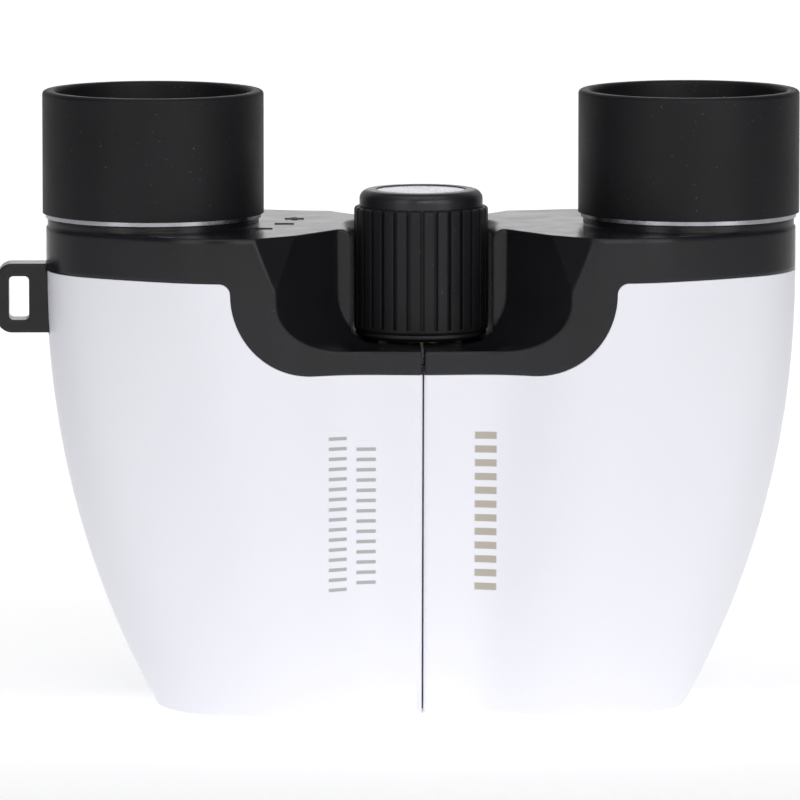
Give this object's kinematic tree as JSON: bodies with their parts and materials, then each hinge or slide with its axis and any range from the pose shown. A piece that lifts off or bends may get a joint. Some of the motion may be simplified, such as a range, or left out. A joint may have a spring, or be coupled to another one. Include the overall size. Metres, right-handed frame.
{
  "type": "compact binoculars",
  "caption": "Compact folding binoculars with a centre hinge, ribbed focus wheel in a bay between the halves, round eyecups, a dioptre eyepiece and a small strap loop.",
  "frame": {"origin": "on the hinge axis, in the plane of the objective ends the pair stands on", "axes": "+X towards the user's left half, -Y the face with the focus wheel, +Z along the optical axes towards the eyecups"},
  "size_m": [0.1079, 0.041, 0.0831],
  "materials": {
    "white_shell": "glossy moulded",
    "black_frame": "satin moulded",
    "black_plastic": "satin moulded",
    "black_rubber": "matt",
    "silver": "bright turned",
    "steel": "turned",
    "brass": "turned",
    "dark_metal": "anti-reflection matt black",
    "glass": "polished",
    "coated_glass": "polished, anti-reflection coated",
    "badge": "pearly disc",
    "print": "printed mark"
  },
  "bodies": {
    "centre": {"hinge_axle": "steel", "hinge_end_cap": "black_plastic", "hinge_screw": "steel", "hinge_washer": "steel", "hinge_nut": "steel", "focus_friction_washer": "brass"},
    "focus_wheel": {"focus_wheel_core": "black_plastic", "focus_spindle": "steel", "focus_wheel_grip": "black_rubber", "focus_wheel_cap": "black_plastic", "focus_wheel_badge": "badge", "focus_wheel_screw": "steel"},
    "focus_carriage": {"focus_spool": "brass", "focus_cross_pin": "steel", "focus_nut": "brass"},
    "left_half": {"left_body_shell": "white_shell", "left_top_frame": "black_frame", "left_objective_barrel": "black_plastic", "left_objective_trim_ring": "black_plastic", "left_prism_shelf": "dark_metal", "left_upper_prism": "glass", "left_lower_prism": "glass", "left_prism_clips": "steel", "left_housing_screws": "steel", "left_eyepiece_tube": "black_plastic", "left_ocular_cell": "black_plastic", "left_field_lens": "glass", "left_eye_lens": "glass", "left_eyepiece_sleeve": "black_plastic", "left_ocular_ring": "silver", "left_eyecup": "black_rubber"},
    "right_half": {"right_body_shell": "white_shell", "right_top_frame": "black_frame", "right_objective_barrel": "black_plastic", "right_objective_trim_ring": "black_plastic", "right_prism_shelf": "dark_metal", "right_upper_prism": "glass", "right_lower_prism": "glass", "right_prism_clips": "steel", "right_housing_screws": "steel", "right_eyepiece_tube": "black_plastic", "right_strap_lug": "black_plastic", "right_dioptre_marks": "print"},
    "left_objective": {"left_focus_arm": "steel", "left_objective_cell": "dark_metal", "left_objective_crown_lens": "coated_glass", "left_objective_flint_lens": "glass", "left_objective_retaining_ring": "dark_metal"},
    "right_objective": {"right_focus_arm": "steel", "right_objective_cell": "dark_metal", "right_objective_crown_lens": "coated_glass", "right_objective_flint_lens": "glass", "right_objective_retaining_ring": "dark_metal"},
    "right_dioptre": {"right_eyepiece_sleeve": "black_plastic", "right_ocular_ring": "silver", "right_eyecup": "black_rubber"},
    "right_ocular": {"right_ocular_cell": "black_plastic", "right_field_lens": "glass", "right_eye_lens": "glass"}
  },
  "joints": [
    {"name": "left_fold", "type": "hinge", "parent": "centre", "child": "left_half", "pos_m": [0, 0, 0], "axis": [0, 0, 1], "range_deg": [0, 33.5]},
    {"name": "right_fold", "type": "hinge", "parent": "centre", "child": "right_half", "pos_m": [0, 0, 0], "axis": [0, 0, 1], "range_deg": [-33.5, 0]},
    {"name": "focus_turn", "type": "hinge", "parent": "centre", "child": "focus_wheel", "pos_m": [0, 0, 0], "axis": [0, 0, 1], "range_deg": [-144, 316.8]},
    {"name": "carriage_slide", "type": "slide", "parent": "centre", "child": "focus_carriage", "axis": [0, 0, 1], "range_m": [-0.001, 0.0022]},
    {"name": "left_objective_slide", "type": "slide", "parent": "left_half", "child": "left_objective", "axis": [0, 0, 1], "range_m": [-0.001, 0.0022]},
    {"name": "right_objective_slide", "type": "slide", "parent": "right_half", "child": "right_objective", "axis": [0, 0, 1], "range_m": [-0.001, 0.0022]},
    {"name": "right_dioptre_turn", "type": "hinge", "parent": "right_half", "child": "right_dioptre", "pos_m": [-0.036, 0, 0], "axis": [0, 0, 1], "range_deg": [-40, 40]},
    {"name": "right_ocular_slide", "type": "slide", "parent": "right_half", "child": "right_ocular", "axis": [0, 0, 1], "range_m": [-0.000334, 0.000334]}
  ],
  "couplings": [
    {"joint": "right_fold", "follows": "left_fold", "ratio": -1},
    {"joint": "carriage_slide", "follows": "focus_turn", "m_per_rad": 0.00039789},
    {"joint": "left_objective_slide", "follows": "focus_turn", "m_per_rad": 0.00039789},
    {"joint": "right_objective_slide", "follows": "focus_turn", "m_per_rad": 0.00039789},
    {"joint": "right_ocular_slide", "follows": "right_dioptre_turn", "m_per_rad": 0.00047746}
  ]
}
